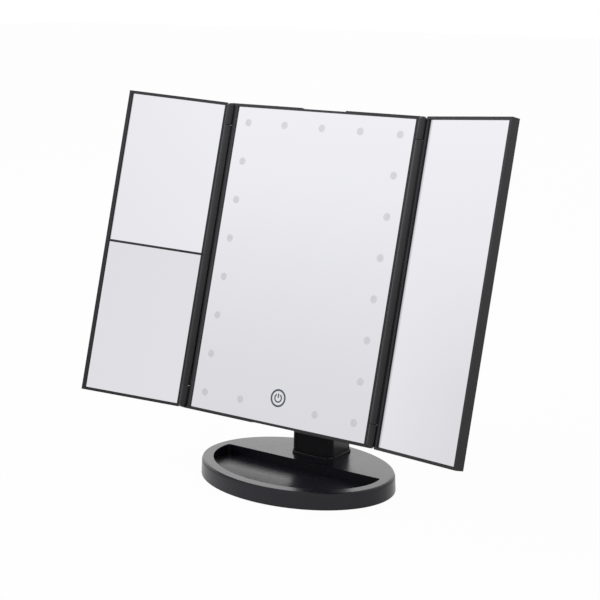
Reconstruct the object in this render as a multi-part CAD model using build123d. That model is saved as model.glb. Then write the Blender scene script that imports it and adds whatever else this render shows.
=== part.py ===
from build123d import *
import os
from math import cos, radians, sin, sqrt

# Trifold vanity mirror on an oval tray base. Millimetres, +Z up, the mirror faces -Y.
# The origin is the centre of the base on the surface that its rubber pad stands on.

# ------------------------------------------------------------------ panes and rims
GLASS_H = 235.0  # visible height of the centre pane and of both wings
CENTRE_GLASS_W = 160.2  # visible width of the centre pane
PANE_T = 2.0
PANE_GAP = 0.2  # pane edge to rim, all round
GLUE_T = 0.5  # foam sheet behind each pane
GLUE_INSET = 3.0
RIM_PROUD = 1.5  # the rims stand this far in front of the glass
RIM_W = 2.0  # top and bottom rims
CENTRE_SIDE_RIM = 2.3
WING_INNER_RIM = 1.7
WING_OUTER_RIM = 2.6
DIVIDER_W = 1.4  # bar between the two left panes
SHELL_T = 2.0  # side walls of the centre housing
NOTCH_W = 39.4  # finger notches in the top and bottom of the centre frame
NOTCH_TOP_D = 0.7
NOTCH_BOTTOM_D = 0.4

# ------------------------------------------------------------------ wing hinges
HINGE_R = 3.2  # barrel and knuckle radius
HINGE_GAP = 0.3  # barrel to the frames beside it
SEAM_GAP = 0.3  # between knuckle and barrel ends
KNUCKLE_L = 17.2
CLOSED_GAP = 0.3  # rim to rim when a wing is shut
MEET_GAP = 1.0  # between the two wings when both are shut
PIN_R = 1.0
PIN_SEAT_GAP = 0.02
PIN_RUN_GAP = 0.05
PIN_IN_KNUCKLE = 14.0  # blind seat in the upper knuckle
PIN_END_GAP = 1.5  # pin end to the lower knuckle's open end
HINGE_LIP_T = 2.0  # lip of the centre frame behind each barrel
HINGE_LIP_MARGIN = 8.0  # lip end to barrel end
JOIN = 1.0  # how far a rib or web runs into the body that carries it

# ------------------------------------------------------------------ depths behind the glass front
TRAY_FLOOR_T = 1.5
FRAME_BACK = 8.0  # parting line of the centre housing
HOUSING_DEPTH = 16.0
COVER_INSET = 5.0  # rear face of the cover, taken in on each side
COVER_EDGE = 2.5  # bevel round the rear face
WING_T = 7.35  # wing thickness, rim front to back
WING_FLOOR_T = 1.2
WING_WALL = 1.6
WING_RIB_T = 1.2
WING_RIBS = 3
WING_BACK_T = 1.4
WING_BACK_GAP = 0.15

# ------------------------------------------------------------------ pose as stored
TILT = 16.2  # head leans back from upright
FOLD_LEFT = 19.3  # wings turned forward from flat
FOLD_RIGHT = 16.6

# ------------------------------------------------------------------ lights and touch key
WINDOW_R = 3.0
LIGHT_ROWS = 8
LIGHT_COLUMNS = 5
LIGHT_SIDE_INSET = 12.05  # outer columns to the visible pane edge
LIGHT_TOP_INSET = 12.1
LIGHT_BOTTOM_INSET = 13.1
LIGHT_SLOT_GAP = 0.4  # window edge to the slot in the frame floor behind it
BOARD_T = 1.2
BOARD_W = 9.0
BOARD_GAP = 0.4
BOARD_RIB = 0.8
CHIP = (3.5, 2.8, 1.2)
CHIP_GAP = 0.2  # LED lens to the back of the frame floor
TOUCH_V = 19.7  # touch key above the lower edge of the visible pane
KEY_RING_R = 6.8
KEY_RING_W = 1.5
KEY_DEPTH = 0.3
TOUCH_PAD_R = 5.0
TOUCH_POST_R = 1.5
CONTROL_BOARD = (58.0, 26.0)
CONTROL_FOOT_H = 12.0  # its wide lower strip, which carries the switch and the socket
CONTROL_CHIP = (7.0, 5.0, 1.5)

# ------------------------------------------------------------------ base
BASE_A = 80.4  # half axes of the top face, before its edge is rounded
BASE_B = 58.0
BASE_FLARE = 0.6  # the lower edge stands out by this much
BASE_H = 12.6
BASE_WALL = 2.4
BASE_TOP_T = 2.2
BASE_EDGE = 2.0  # radius of the top edge, which is made of two flats
BASE_EDGE_ANGLE = 45.0  # where the two flats meet
TRAY_RIM = 9.0  # width of the oval rim round the tray
NECK_TO_TRAY = 26.2  # tilt axis to the tray's back wall
TRAY_DEPTH = 7.5
TRAY_CORNER_R = 2.0
PLATE_T = 1.6
PLATE_GAP = 0.2
WEIGHT_T = 6.0
WEIGHT_GAP = 1.0
PAD = (100.0, 64.0, 0.4)  # rubber pad under the base
PAD_CORNER = 10.0
BASE_SCREW_INSET = 6.4  # screws to the base's outline and to the wall behind the tray
BASE_SCREW_ANGLE = 40.0  # rear pair, round the oval from its long axis

# ------------------------------------------------------------------ neck and tilt hinge
NECK_BACK_INSET = 24.8  # tilt axis to the back end of the base's top face
PIVOT_Z = 156.1
NECK_HALF_W = 18.3
NECK_FOOT_HALF_D = 15.9
NECK_HEAD_R = 11.5
NECK_BOW = 1.2  # the front face bulges
NECK_CORNER_R = 5.0
NECK_WALL = 2.4
NECK_FOOT_T = 4.5
NECK_SCREW_OFFSET = 7.5  # screws in the foot, before and behind the parting plane
NECK_SHELL_SCREWS = (46.0, 96.0)  # heights of the screws that draw the two shells together
COLLAR_W = 0.9
COLLAR_H = 1.6
COLLAR_GAP = 0.1
BARREL_R = 9.0
BARREL_W = 18.6
BARREL_CLEAR = 0.5  # barrel to the saddle in the neck
WASHER_T = 0.6
WASHER_R = 6.5
STACK_GAP = 0.05  # play beside each washer
CHEEK_T = 1.4
EAR_T = 1.5
EAR_HALF_D = 7.0
EAR_GAP = 0.1
EAR_DROP = 34.0  # tilt axis down to the ears' bridge
BOLT_R = 3.0
BOLT_RUN_GAP = 0.05
BOLT_HEAD_R = 5.0
BOLT_HEAD_T = 2.2
CAP_R = 6.0
CAP_GAP = 0.1
ARM_HALF_T = 6.0
FLANGE_T = 3.0  # plate of the head bracket
FLANGE_HALF_H = 15.0
FLANGE_MARGIN = 1.5  # screw heads to the plate's edge
FLANGE_CORNER = 3.0
CROWN_GAP = 1.0  # neck head to that plate
NECK_SIDE_GAP = 0.7  # screw heads on that plate to the sides of the neck

# ------------------------------------------------------------------ rear cover fittings
CELL_R = 5.2
CELL_L = 43.4
CELL_TIP_R = 1.9
CELL_TIP_L = 1.1
CELLS = 4
CELL_SPACING = 0.4
CONTACT_SPACE = 3.2  # room for the contacts at each end of a cell
CONTACT_T = 0.4
CONTACT_HALF = 4.2
SPRING_R = 3.2
BATTERY_DROP = 57.5  # top of the head to the middle of the battery compartment
BATTERY_WALL = 1.2
BATTERY_FLOOR_GAP = 1.1  # compartment to the back of the frame floor
BUMP_MARGIN = 4.0  # raised battery bump round the compartment
BUMP_CORNER_R = 3.0
DOOR_T = 1.6
DOOR_GAP = 0.15
DOOR_TONGUE = 1.2
DOOR_TONGUE_T = 0.8
DOOR_LAP = 1.5
GRIP_RIBS = 5
GRIP_RIB = (16.0, 0.9, 0.5)
GRIP_PITCH = 2.2
GRIP_START = 5.0  # first rib to the door's lower end
FITTING_GAP = 3.4  # switch to the cover screw beside it
SWITCH_BODY = (13.0, 6.4)
SWITCH_TRAVEL = 3.0
KNOB = (3.6, 3.2, 1.2)
KNOB_GROOVE = (0.5, 0.35)
KNOB_GROOVE_PITCH = 1.1
STEM = (2.6, 2.0)
STEM_GAP = 0.2
SOCKET = (8.9, 3.2)
SOCKET_WALL = 0.35
SOCKET_GAP = 0.15
SOCKET_SINK = 0.2  # its mouth to the cover's rear face
TONGUE = (5.9, 0.7)
LEAD = (3.0, 0.6)  # flat leads
LEAD_END = 4.0  # from the end of each lead to the control board's edges
LEAD_BEND_V = 12.0
LEAD_BEND_R = 40.0

# ------------------------------------------------------------------ screws
SCREW_R = 1.5
SCREW_HEAD_R = 2.8
SCREW_HEAD_T = 2.0
SCREW_RUN = 0.2  # screw to a clearance hole
SCREW_BITE = 0.05  # screw to its own thread hole
BOSS_WALL = 1.9
SCREW_SINK = 0.6  # heads lie this far below the face
SCREW_TIP_GAP = 1.0
FLANGE_BOSS = 4.0  # bosses behind the head bracket
HEAD_SIDES = 12
SHANK_SIDES = 8
WINDOW_SIDES = 12
RING_SIDES = 24
ROOM_SIDES = 36  # of the oval that the base is hollowed out to

# ------------------------------------------------------------------ worked out from the above
FRAME_H = GLASS_H + 2 * RIM_W
FRAME_HALF_W = CENTRE_GLASS_W / 2 + CENTRE_SIDE_RIM
WING_START = HINGE_R + HINGE_GAP  # hinge axis to the wing's inner edge
HINGE_U = FRAME_HALF_W + WING_START
HINGE_W = RIM_PROUD + CLOSED_GAP / 2
WING_END = HINGE_U - MEET_GAP / 2
WING_PANE = (WING_START + WING_INNER_RIM, WING_END - WING_OUTER_RIM)
BARREL_L = FRAME_H - 2 * (KNUCKLE_L + SEAM_GAP)
FLOOR_FRONT = -PANE_T - GLUE_T
FLOOR_BACK = FLOOR_FRONT - TRAY_FLOOR_T
BOARD_FRONT = FLOOR_BACK - CHIP_GAP - CHIP[2]
BOARD_BACK = BOARD_FRONT - BOARD_T
LIGHT_SIDE_U = CENTRE_GLASS_W / 2 - LIGHT_SIDE_INSET
LIGHT_PITCH_U = 2 * LIGHT_SIDE_U / (LIGHT_COLUMNS - 1)
LIGHT_TOP_V = GLASS_H / 2 - LIGHT_TOP_INSET
LIGHT_BOTTOM_V = LIGHT_BOTTOM_INSET - GLASS_H / 2
LIGHT_PITCH_V = (LIGHT_TOP_V - LIGHT_BOTTOM_V) / (LIGHT_ROWS - 1)
LIGHT_SLOT = WINDOW_R + LIGHT_SLOT_GAP
KEY_V = TOUCH_V - GLASS_H / 2
CONTROL_LOW = LIGHT_BOTTOM_V + BOARD_W / 2 + BOARD_GAP
FITTING_V = CONTROL_LOW + CONTROL_FOOT_H / 2
FOOT_PROUD = PAD[2]
BASE_TOP = FOOT_PROUD + BASE_H
PLATE_TOP = FOOT_PROUD + PLATE_T
PIVOT_Y = BASE_B - NECK_BACK_INSET
TRAY_BACK_Y = PIVOT_Y - NECK_TO_TRAY
NECK_SCREWS = [(0, PIVOT_Y + side * NECK_SCREW_OFFSET) for side in (-1, 1)]
BOSS_R = SCREW_R + BOSS_WALL
COVER_WALL = SHELL_T - HOUSING_DEPTH
ROOM_FLOOR = FLOOR_BACK - BATTERY_FLOOR_GAP - BATTERY_WALL  # inside of the battery compartment
CELL_W = ROOM_FLOOR - DOOR_GAP - CELL_R  # depth of the cells' axes
BUMP_FACE = CELL_W - CELL_R - DOOR_GAP - DOOR_T
CELL_PITCH = 2 * CELL_R + CELL_SPACING
BATTERY_V = FRAME_H / 2 - BATTERY_DROP
BATTERY_HALF_W = CELL_L / 2 + CONTACT_SPACE
BATTERY_HALF_H = CELLS * CELL_PITCH / 2
DOOR_HALF_W = BATTERY_HALF_W + DOOR_LAP
DOOR_LOW = BATTERY_V - BATTERY_HALF_H - DOOR_LAP
BUMP_HALF_W = BATTERY_HALF_W + DOOR_TONGUE + BUMP_MARGIN
BUMP_TOP = BATTERY_V + BATTERY_HALF_H + BUMP_MARGIN
BUMP_LOW = BATTERY_V - BATTERY_HALF_H - BUMP_MARGIN
SLOT_HALF_W = BARREL_W / 2 + WASHER_T + 2 * STACK_GAP
EAR_IN = SLOT_HALF_W + CHEEK_T + EAR_GAP
NUT_IN = EAR_IN + EAR_T
NUT_END = NUT_IN + BOLT_HEAD_T + EAR_GAP
FLANGE_BACK = -HOUSING_DEPTH - FLANGE_T
PANEL_TO_PIVOT = CROWN_GAP + NECK_HEAD_R - FLANGE_BACK  # glass front to the tilt axis
FLANGE_SCREW_U = NECK_HALF_W + NECK_SIDE_GAP + SCREW_HEAD_R
FLANGE_SCREW_V = FLANGE_HALF_H - FLANGE_MARGIN - SCREW_HEAD_R
FLANGE_HALF_W = FLANGE_SCREW_U + SCREW_HEAD_R + FLANGE_MARGIN
COVER_SCREW_U = LIGHT_SIDE_U - BOARD_W / 2 - BOSS_R - 2 * SHELL_T
COVER_SCREW_V = LIGHT_TOP_V - BOARD_W / 2 - BOSS_R - 2 * SHELL_T
SWITCH_HALF = (SWITCH_BODY[0] + SWITCH_TRAVEL) / 2
FITTING_U = COVER_SCREW_U - SCREW_HEAD_R - BOSS_WALL - FITTING_GAP - SWITCH_HALF  # switch right, socket left

HEAD_PLANE = Plane(
    origin=(
        0,
        PIVOT_Y - PANEL_TO_PIVOT * cos(radians(TILT)),
        PIVOT_Z + PANEL_TO_PIVOT * sin(radians(TILT)),
    ),
    x_dir=(1, 0, 0),
    z_dir=(0, -cos(radians(TILT)), sin(radians(TILT))),
)


# ------------------------------------------------------------------ helpers
def block(x, y, z):
    """A box from its (low, high) pairs."""
    size = (x[1] - x[0], y[1] - y[0], z[1] - z[0])
    return Pos(x[0], y[0], z[0]) * Box(*size, align=(Align.MIN, Align.MIN, Align.MIN))


def both(half, centre=0):
    """The (low, high) pair that reaches half to each side of a centre."""
    return centre - half, centre + half


def rod(radius, start, end):
    """A round bar between two points."""
    axis = Vector(end) - Vector(start)
    return Plane(origin=start, z_dir=axis) * Cylinder(
        radius, axis.length, align=(Align.CENTER, Align.CENTER, Align.MIN)
    )


def peg(radius, start, end, sides=SHANK_SIDES):
    """A many-sided bar between two points, for small fasteners, their posts and their holes."""
    axis = Vector(end) - Vector(start)
    outline = RegularPolygon(radius, sides)
    return Plane(origin=start, z_dir=axis) * extrude(outline, axis.length)


def seat(radius, start, end):
    """A many-sided hole whose flats lie at a radius, for a round pin or shank that doesn't turn in it."""
    axis = Vector(end) - Vector(start)
    outline = RegularPolygon(radius, HEAD_SIDES, major_radius=False)
    return Plane(origin=start, z_dir=axis) * extrude(outline, axis.length)


def across(x0, x1, radius):
    """A round bar along the tilt axis."""
    return rod(radius, (x0, PIVOT_Y, PIVOT_Z), (x1, PIVOT_Y, PIVOT_Z))


def peg_across(x0, x1, radius, sides):
    """A many-sided bar along the tilt axis."""
    return peg(radius, (x0, PIVOT_Y, PIVOT_Z), (x1, PIVOT_Y, PIVOT_Z), sides)


def seat_across(x0, x1, radius):
    """A many-sided hole along the tilt axis."""
    return seat(radius, (x0, PIVOT_Y, PIVOT_Z), (x1, PIVOT_Y, PIVOT_Z))


def on_head(shape):
    """Panel frame (x across, y up the glass, z out of its front) to the model's frame."""
    return HEAD_PLANE.location * shape


def on_wing(shape, side):
    """Right-hand wing frame (x away from the hinge axis) to the model's frame, mirrored on the left."""
    fold = FOLD_LEFT if side < 0 else FOLD_RIGHT
    if side < 0:
        shape = mirror(shape, about=Plane.YZ)
    return on_head(Pos(side * HINGE_U, 0, HINGE_W) * Rot(0, -side * fold, 0) * shape)


def write(name, *solids):
    """One STEP file per node; a group of like solids shares one."""
    shape = solids[0] if len(solids) == 1 else Compound(children=list(solids))
    shape.label = name
    export_step(shape, f"parts/{name}.step")


def light_places():
    """Window centres: the top row, the rest of both side columns, and two in the bottom row."""
    columns = [LIGHT_PITCH_U * (i - (LIGHT_COLUMNS - 1) / 2) for i in range(LIGHT_COLUMNS)]
    places = [(u, LIGHT_TOP_V) for u in columns]
    for row in range(LIGHT_ROWS - 1):
        v = LIGHT_BOTTOM_V + row * LIGHT_PITCH_V
        places += [(-LIGHT_SIDE_U, v), (LIGHT_SIDE_U, v)]
    return places + [(-LIGHT_PITCH_U, LIGHT_BOTTOM_V), (LIGHT_PITCH_U, LIGHT_BOTTOM_V)]


def four_places(u, v):
    return [(su * u, sv * v) for su in (-1, 1) for sv in (-1, 1)]


def screw(top, tip):
    """A pan-head screw from the top of its head to its tip."""
    under = Vector(top) + (Vector(tip) - Vector(top)).normalized() * SCREW_HEAD_T
    return peg(SCREW_HEAD_R, top, under, HEAD_SIDES) + peg(SCREW_R, under, tip)


# ------------------------------------------------------------------ base
def half_axes(z, inset):
    """Half axes of the drafted base at a height, taken in by inset."""
    flare = BASE_FLARE * (BASE_TOP - z) / BASE_H
    return BASE_A + flare - inset, BASE_B + flare - inset


def oval_at(z, inset):
    return Pos(0, 0, z) * Ellipse(*half_axes(z, inset))


def tray_space():
    """Room of the scooped tray: a D-shaped prism over a floor that rises in an arc to the front rim."""
    reach = BASE_B - TRAY_RIM + TRAY_BACK_Y
    floor_r = (reach**2 + TRAY_DEPTH**2) / (2 * TRAY_DEPTH)
    front_half = Rectangle(2 * BASE_A, 2 * BASE_B, align=(Align.CENTER, Align.MAX))
    outline = Ellipse(BASE_A - TRAY_RIM, BASE_B - TRAY_RIM) & Pos(0, TRAY_BACK_Y) * front_half
    prism = extrude(outline, BASE_TOP + 1)
    corners = prism.edges().filter_by(Axis.Z).sort_by(Axis.Y)[-2:]
    axis_z = BASE_TOP - TRAY_DEPTH + floor_r
    scoop = rod(floor_r, (-2 * BASE_A, TRAY_BACK_Y, axis_z), (2 * BASE_A, TRAY_BACK_Y, axis_z))
    return fillet(corners, TRAY_CORNER_R) & scoop


def rear_room(z, inset, gap):
    """D-shaped, many-sided room between the tray's back wall and the rear of the base."""
    front = TRAY_BACK_Y + BASE_WALL + gap
    a, b = half_axes(z[0], inset + gap)
    angles = [radians(360 * i / ROOM_SIDES) for i in range(ROOM_SIDES)]
    outline = Polygon(*[(a * cos(t), b * sin(t)) for t in angles], align=None)
    return Pos(0, 0, z[0]) * extrude(outline, z[1] - z[0]) & block(both(2 * BASE_A), (front, 2 * BASE_B), z)


def base_screw_places():
    """One pair of screws along the wall behind the tray, and one pair further back."""
    a, b = BASE_A - BASE_SCREW_INSET, BASE_B - BASE_SCREW_INSET
    front_y = TRAY_BACK_Y + BASE_WALL + BASE_SCREW_INSET
    front_x = a * sqrt(1 - (front_y / b) ** 2)
    rear_x = a * cos(radians(BASE_SCREW_ANGLE))
    rear_y = b * sin(radians(BASE_SCREW_ANGLE))
    return [(side * x, y) for side in (-1, 1) for x, y in ((front_x, front_y), (rear_x, rear_y))]


def base_shell():
    side_cut = BASE_EDGE * (1 - cos(radians(BASE_EDGE_ANGLE)))
    top_cut = BASE_EDGE * (1 - sin(radians(BASE_EDGE_ANGLE)))
    sections = [oval_at(FOOT_PROUD, 0), oval_at(BASE_TOP - BASE_EDGE, 0)]
    sections += [oval_at(BASE_TOP - top_cut, side_cut), oval_at(BASE_TOP, BASE_EDGE)]
    ceiling = BASE_TOP - BASE_TOP_T
    body = loft(sections, ruled=True) - tray_space()
    body -= rear_room((FOOT_PROUD, ceiling), BASE_WALL, 0)
    for x, y in base_screw_places():
        body += peg(BOSS_R, (x, y, PLATE_TOP), (x, y, ceiling))
        body -= peg(SCREW_R + SCREW_BITE, (x, y, PLATE_TOP), (x, y, ceiling))
    for x, y in NECK_SCREWS:
        body += peg(BOSS_R, (x, y, PLATE_TOP + WEIGHT_T), (x, y, ceiling))
        body -= peg(SCREW_R + SCREW_RUN, (x, y, PLATE_TOP), (x, y, BASE_TOP + 1))
    return body + neck_collar()


def base_plate():
    """Plate that closes the rear room from below, level with the shell's lower edge."""
    plate = rear_room((FOOT_PROUD, PLATE_TOP), BASE_WALL, PLATE_GAP)
    for x, y in base_screw_places():
        plate -= peg(SCREW_R + SCREW_RUN, (x, y, 0), (x, y, PLATE_TOP + 1))
        plate -= peg(SCREW_HEAD_R + SCREW_RUN, (x, y, 0), (x, y, FOOT_PROUD + PLATE_T / 2), HEAD_SIDES)
    return plate


def base_pad():
    outline = Rectangle(PAD[0], PAD[1])
    return extrude(chamfer(outline.vertices(), PAD_CORNER), PAD[2])


def base_screws():
    """Flat washer-head screws, their heads level with the plate's underside."""
    screws = []
    for x, y in base_screw_places():
        head = peg(SCREW_HEAD_R, (x, y, FOOT_PROUD), (x, y, FOOT_PROUD + PLATE_T / 2), HEAD_SIDES)
        tip = BASE_TOP - BASE_TOP_T - SCREW_TIP_GAP
        screws.append(head + peg(SCREW_R, (x, y, FOOT_PROUD + PLATE_T / 2), (x, y, tip)))
    return screws


def base_weight():
    """Steel slab under the neck, between the plate's screw posts."""
    top = PLATE_TOP + WEIGHT_T
    slab = rear_room((PLATE_TOP, top), BASE_WALL + WEIGHT_GAP, WEIGHT_GAP)
    reach = min(abs(x) for x, _ in base_screw_places()) - BOSS_R - WEIGHT_GAP
    slab &= block(both(reach), both(2 * BASE_B), (PLATE_TOP, top))
    for x, y in NECK_SCREWS:
        ledge = PLATE_TOP + SCREW_SINK + SCREW_HEAD_T
        slab -= peg(SCREW_R + SCREW_RUN, (x, y, PLATE_TOP), (x, y, top))
        slab -= peg(SCREW_HEAD_R + SCREW_RUN, (x, y, PLATE_TOP), (x, y, ledge), HEAD_SIDES)
    return slab


# ------------------------------------------------------------------ neck and tilt hinge
def neck_half_depth(z):
    """Half depth of the neck: widest at its foot, down to the head's radius at the tilt axis."""
    share = (z - BASE_TOP) / (PIVOT_Z - BASE_TOP)
    return NECK_FOOT_HALF_D + (NECK_HEAD_R - NECK_FOOT_HALF_D) * share


def neck_prism(low, high, inset, ease=fillet):
    """Length of the neck's tapered bar: bowed front, eased long edges, taken in by inset."""
    half_w = NECK_HALF_W - inset
    foot, head = neck_half_depth(low), neck_half_depth(high)
    side_view = Polygon(
        (inset - foot, low), (foot - inset, low), (head - inset, high), (inset - head, high), align=None
    )
    side_plane = Plane(origin=(-half_w, PIVOT_Y, 0), x_dir=(0, 1, 0), z_dir=(1, 0, 0))
    bar = side_plane * extrude(side_view, 2 * half_w)

    bow_r = (NECK_HALF_W**2 + NECK_BOW**2) / (2 * NECK_BOW)
    front_line = Vector(0, PIVOT_Y - foot, low), Vector(0, PIVOT_Y - head, high)
    rise = (front_line[1] - front_line[0]).normalized()
    to_axis = rise.cross(Vector(1, 0, 0)) * bow_r
    bar &= rod(bow_r - inset, front_line[0] + to_axis - rise, front_line[1] + to_axis + rise)
    long_edges = bar.edges().filter_by(lambda edge: abs(edge.tangent_at(0.5).Z) > 0.9)
    return ease(long_edges, NECK_CORNER_R - inset)


def neck_body():
    """The whole neck before it is parted into its two shells."""
    top = PIVOT_Z + NECK_HEAD_R
    wide = 2 * NECK_HALF_W
    axis = (PIVOT_Y, PIVOT_Z)
    body = neck_prism(BASE_TOP, top, 0)
    body &= block(both(wide), both(wide, PIVOT_Y), (BASE_TOP, PIVOT_Z)) + across(-wide, wide, NECK_HEAD_R)

    shelf_top = PIVOT_Z - EAR_DROP
    saddle_r = BARREL_R + BARREL_CLEAR
    body -= neck_prism(BASE_TOP + NECK_FOOT_T, shelf_top - NECK_WALL, NECK_WALL, ease=chamfer)
    body -= neck_prism(shelf_top, PIVOT_Z - saddle_r - NECK_WALL, NECK_WALL, ease=chamfer)

    slot_x = both(SLOT_HALF_W)
    arm_room = ARM_HALF_T + BARREL_CLEAR
    body -= rod(saddle_r, (slot_x[0], *axis), (slot_x[1], *axis))
    body -= block(slot_x, (PIVOT_Y - wide, PIVOT_Y), (PIVOT_Z - arm_room, PIVOT_Z + wide))
    body -= block(slot_x, (PIVOT_Y - JOIN, PIVOT_Y + arm_room), (PIVOT_Z, PIVOT_Z + wide))

    ear_reach = EAR_HALF_D + EAR_GAP
    for side in (-1, 1):
        ear_x = sorted((side * (EAR_IN - EAR_GAP), side * (NUT_IN + EAR_GAP)))
        body -= block(ear_x, both(ear_reach, PIVOT_Y), (shelf_top, PIVOT_Z + ear_reach))
        body -= peg_across(0, side * EAR_IN, BOLT_R + SCREW_RUN, HEAD_SIDES)
        body -= peg_across(side * NUT_IN, side * NUT_END, BOLT_HEAD_R + SCREW_RUN, HEAD_SIDES)
        body -= peg_across(side * NUT_END, side * wide, CAP_R + CAP_GAP, RING_SIDES)
    for x, y in NECK_SCREWS:
        body -= peg(SCREW_R + SCREW_BITE, (x, y, BASE_TOP), (x, y, BASE_TOP + NECK_FOOT_T - SCREW_TIP_GAP))
    for z in NECK_SHELL_SCREWS:
        reach = neck_half_depth(z)
        inner = reach - NECK_WALL / 2
        ledge = PIVOT_Y + reach - SCREW_SINK - SCREW_HEAD_T
        body += peg(SCREW_HEAD_R + BOSS_WALL, (0, PIVOT_Y - inner, z), (0, PIVOT_Y + inner, z))
        body -= peg(SCREW_R + SCREW_BITE, (0, PIVOT_Y - inner + NECK_WALL, z), (0, PIVOT_Y, z))
        body -= peg(SCREW_R + SCREW_RUN, (0, PIVOT_Y, z), (0, ledge, z))
        body -= peg(SCREW_HEAD_R + SCREW_RUN, (0, ledge, z), (0, PIVOT_Y + 2 * reach, z), HEAD_SIDES)
    return body


def neck_shell(body, front):
    wide = 2 * NECK_HALF_W
    y = (PIVOT_Y - wide, PIVOT_Y) if front else (PIVOT_Y, PIVOT_Y + wide)
    return body & block(both(wide), y, (0, PIVOT_Z + wide))


def neck_collar():
    """Raised lip of the base round the neck's foot."""
    top = BASE_TOP + COLLAR_H
    return neck_prism(BASE_TOP, top, -COLLAR_W) - neck_prism(BASE_TOP, top, -COLLAR_GAP)


def neck_screws():
    head = PLATE_TOP + SCREW_SINK
    tip = BASE_TOP + NECK_FOOT_T - SCREW_TIP_GAP - SCREW_RUN
    return [screw((x, y, head), (x, y, tip)) for x, y in NECK_SCREWS]


def neck_shell_screws():
    screws = []
    for z in NECK_SHELL_SCREWS:
        reach = neck_half_depth(z)
        top = (0, PIVOT_Y + reach - SCREW_SINK, z)
        screws.append(screw(top, (0, PIVOT_Y - reach + 2 * NECK_WALL, z)))
    return screws


def tilt_ears():
    """U-shaped steel bracket that carries the tilt bolt inside the neck."""
    low = PIVOT_Z - EAR_DROP
    y = both(EAR_HALF_D, PIVOT_Y)
    ears = block(both(NUT_IN), y, (low, low + EAR_T))
    for side in (-1, 1):
        ears += block(sorted((side * EAR_IN, side * NUT_IN)), y, (low, PIVOT_Z + EAR_HALF_D))
    return ears - seat_across(-2 * NUT_IN, 2 * NUT_IN, BOLT_R + BOLT_RUN_GAP)


def tilt_bolt():
    end = NUT_IN + BOLT_HEAD_T
    return peg_across(-end, -NUT_IN, BOLT_HEAD_R, 6) + across(-NUT_IN, end, BOLT_R)


def tilt_nut():
    end = NUT_IN + BOLT_HEAD_T
    return peg_across(NUT_IN, end, BOLT_HEAD_R, 6) - seat_across(NUT_IN, end, BOLT_R + SCREW_BITE)


def tilt_washers():
    inner = BARREL_W / 2 + STACK_GAP
    washers = []
    for side in (-1, 1):
        span = side * inner, side * (inner + WASHER_T)
        disc = peg_across(*span, WASHER_R, HEAD_SIDES)
        washers.append(disc - peg_across(*span, BOLT_R + SCREW_RUN, HEAD_SIDES))
    return washers


def neck_caps():
    return [peg_across(side * NUT_END, side * NECK_HALF_W, CAP_R, RING_SIDES) for side in (-1, 1)]


def head_bracket():
    """Flange on the back of the head, with the arm and barrel that turn on the tilt bolt."""
    outline = Rectangle(2 * FLANGE_HALF_W, 2 * FLANGE_HALF_H)
    flange = Pos(0, 0, FLANGE_BACK) * extrude(chamfer(outline.vertices(), FLANGE_CORNER), FLANGE_T)
    barrel = rod(BARREL_R, (-BARREL_W / 2, 0, -PANEL_TO_PIVOT), (BARREL_W / 2, 0, -PANEL_TO_PIVOT))
    arm = block(both(BARREL_W / 2), both(ARM_HALF_T), (-PANEL_TO_PIVOT, FLANGE_BACK))
    bracket = flange + arm + barrel
    bracket -= rod(BOLT_R + BOLT_RUN_GAP, (-BARREL_W, 0, -PANEL_TO_PIVOT), (BARREL_W, 0, -PANEL_TO_PIVOT))
    for u, v in four_places(FLANGE_SCREW_U, FLANGE_SCREW_V):
        bracket -= peg(SCREW_R + SCREW_RUN, (u, v, FLANGE_BACK), (u, v, -HOUSING_DEPTH))
    return bracket


def bracket_screws():
    top, tip = FLANGE_BACK - SCREW_HEAD_T, COVER_WALL + FLANGE_BOSS - SCREW_TIP_GAP
    places = four_places(FLANGE_SCREW_U, FLANGE_SCREW_V)
    return [on_head(screw((u, v, top), (u, v, tip))) for u, v in places]


# ------------------------------------------------------------------ centre frame and hinge columns
def knuckle(side, end):
    """Short end of a hinge column, part of the frame, with a domed outer end."""
    outer, inner = end * FRAME_H / 2, end * (FRAME_H / 2 - KNUCKLE_L)
    centre = side * HINGE_U
    span = sorted((inner, outer))
    shoulder = outer - end * HINGE_R
    column = rod(HINGE_R, (centre, inner, HINGE_W), (centre, shoulder, HINGE_W))
    column += Pos(centre, shoulder, HINGE_W) * Sphere(HINGE_R)
    column += block(sorted((centre, side * (FRAME_HALF_W - JOIN))), span, (HINGE_W - HINGE_R, RIM_PROUD))
    depth = inner + end * (PIN_IN_KNUCKLE if end > 0 else KNUCKLE_L)
    return column - seat(PIN_R + PIN_SEAT_GAP, (centre, inner, HINGE_W), (centre, depth, HINGE_W))


def hinge_lip(side):
    """Rib behind each barrel that the open wing comes to rest against."""
    x = sorted((side * (FRAME_HALF_W - JOIN), side * (HINGE_U + HINGE_R)))
    front = HINGE_W - HINGE_R - HINGE_GAP
    return block(x, both(BARREL_L / 2 - HINGE_LIP_MARGIN), (front - HINGE_LIP_T, front))


def light_slots():
    """Slots in the frame floor behind the windows, as (x range, y range)."""
    side_y = LIGHT_BOTTOM_V - LIGHT_SLOT, LIGHT_TOP_V - LIGHT_PITCH_V + LIGHT_SLOT
    return [
        (both(LIGHT_SLOT, -LIGHT_SIDE_U), side_y),
        (both(LIGHT_SLOT, LIGHT_SIDE_U), side_y),
        (both(LIGHT_SIDE_U + LIGHT_SLOT), both(LIGHT_SLOT, LIGHT_TOP_V)),
        (both(LIGHT_PITCH_U + LIGHT_SLOT), both(LIGHT_SLOT, LIGHT_BOTTOM_V)),
    ]


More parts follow.
